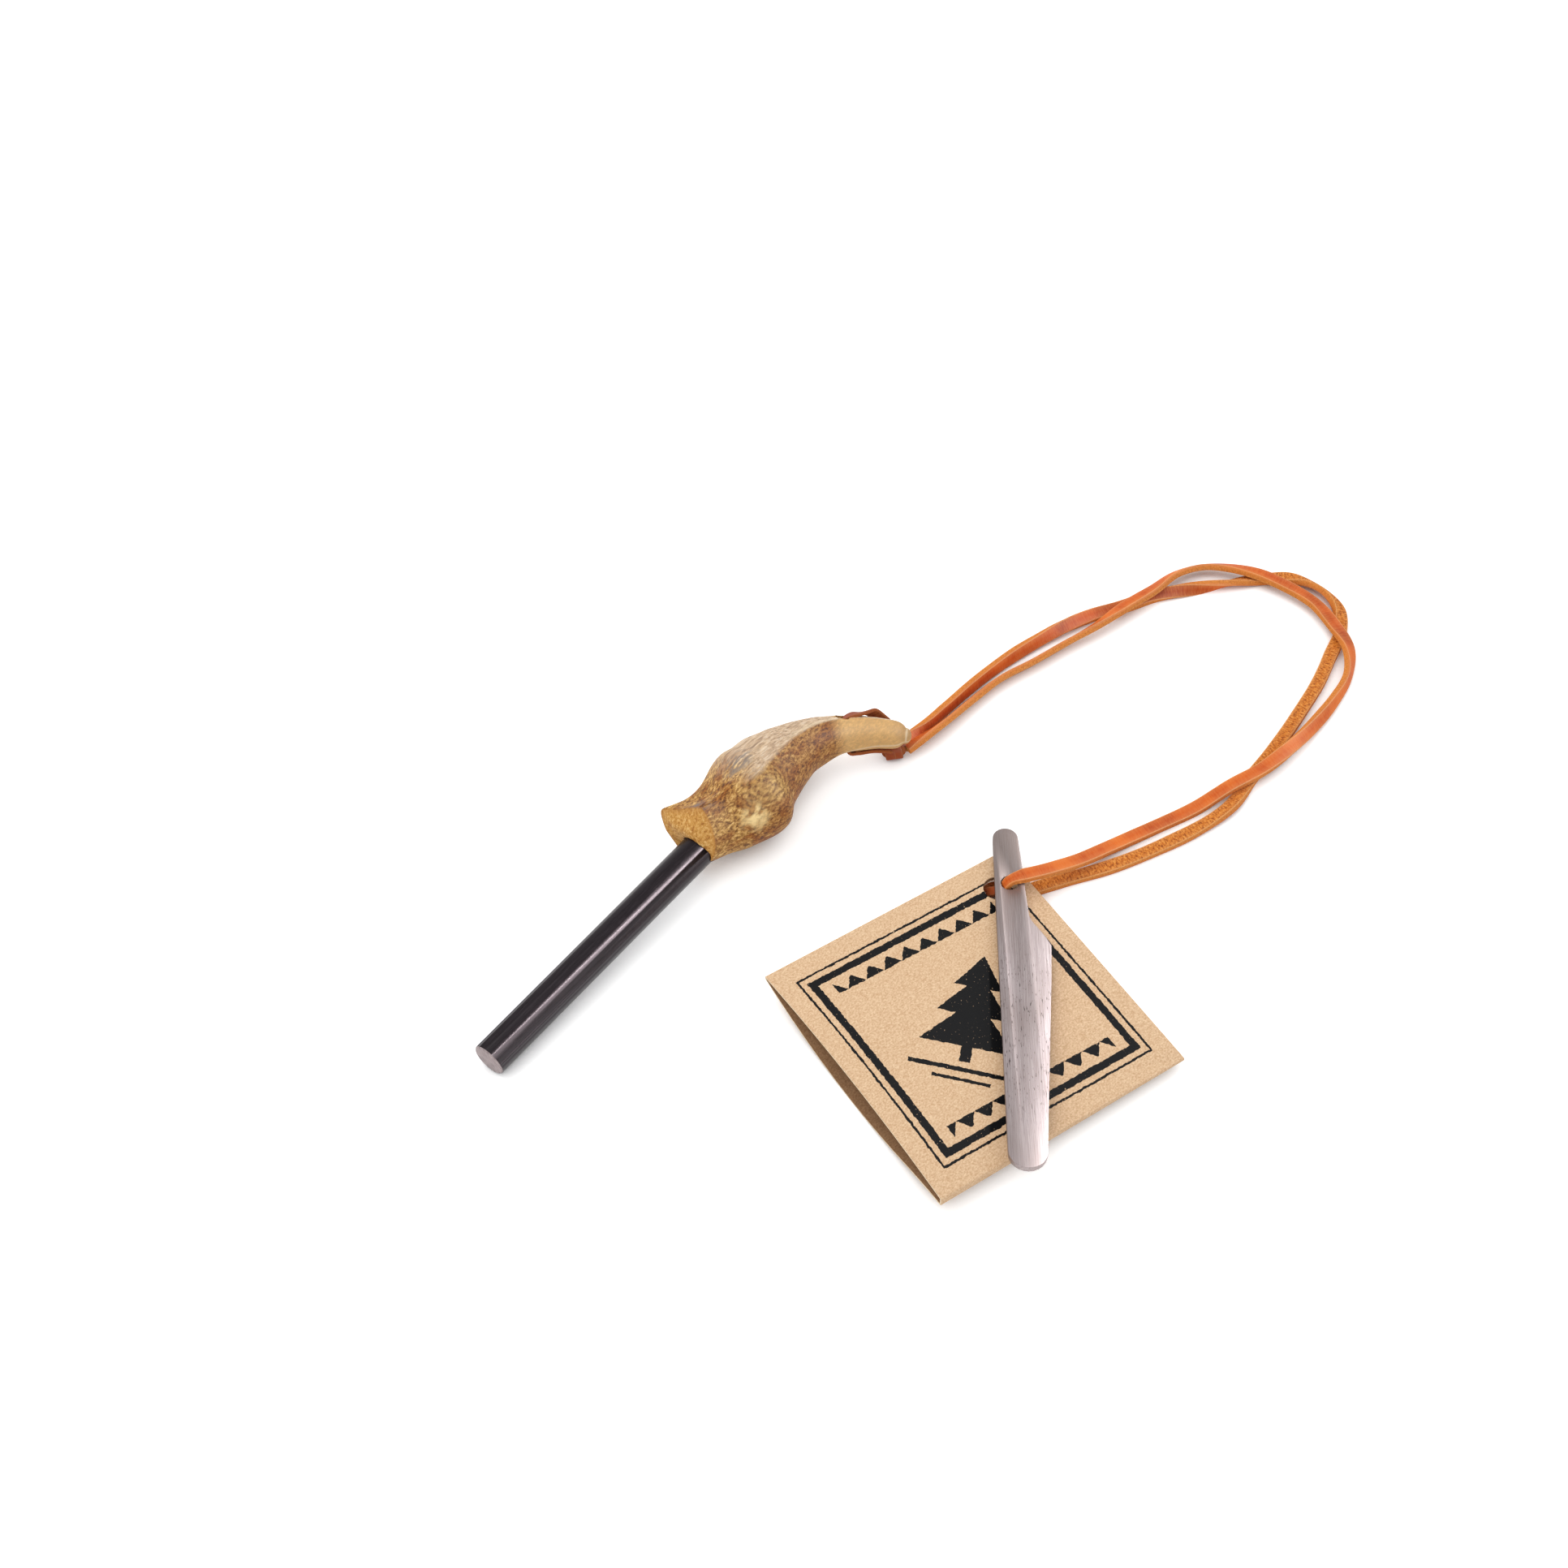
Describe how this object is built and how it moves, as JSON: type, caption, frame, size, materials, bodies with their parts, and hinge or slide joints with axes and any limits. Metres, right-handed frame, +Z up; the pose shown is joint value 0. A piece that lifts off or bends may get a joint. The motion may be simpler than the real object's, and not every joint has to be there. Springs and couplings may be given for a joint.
{
  "type": "ferro rod fire starter",
  "caption": "Fire striking set lying flat: a round rod in a carved wooden handle, tied by a flat leather lace to a steel striker and an open sleeve of folded card.",
  "frame": {"origin": "middle of the bounding box of the set without its lace, on the surface that it lies on", "axes": "+X along the rod's plan line from its tip towards the handle, +Y to the far side of the rod from the card, +Z up"},
  "size_m": [0.2895, 0.1582, 0.0268],
  "materials": {
    "birch_wood": "oiled",
    "ferrocerium": "black coated",
    "epoxy": "satin",
    "spring_steel": "ground lengthwise",
    "kraft_card": "matte",
    "suede_leather": "grain on one side, suede on the other"
  },
  "bodies": {
    "rod_and_handle": {"handle": "birch_wood", "fire_rod": "ferrocerium", "rod_glue": "epoxy", "lace_upper": "suede_leather", "lace_lower": "suede_leather", "lace_fold": "suede_leather", "lace_hitch": "suede_leather", "lace_knot": "suede_leather"},
    "striker": {"striker": "spring_steel"},
    "card": {"card": "kraft_card"}
  },
  "joints": [
    {"name": "striker_turn", "type": "hinge", "parent": "rod_and_handle", "child": "striker", "pos_m": [0.0575, -0.0098, 0.0059], "axis": [0.0454, 0.0381, 0.9982], "range_deg": [-10, 60]},
    {"name": "card_turn", "type": "hinge", "parent": "rod_and_handle", "child": "card", "pos_m": [0.0556, -0.0071, 0.004], "axis": [0, 0, 1], "range_deg": [-15, 10]}
  ]
}
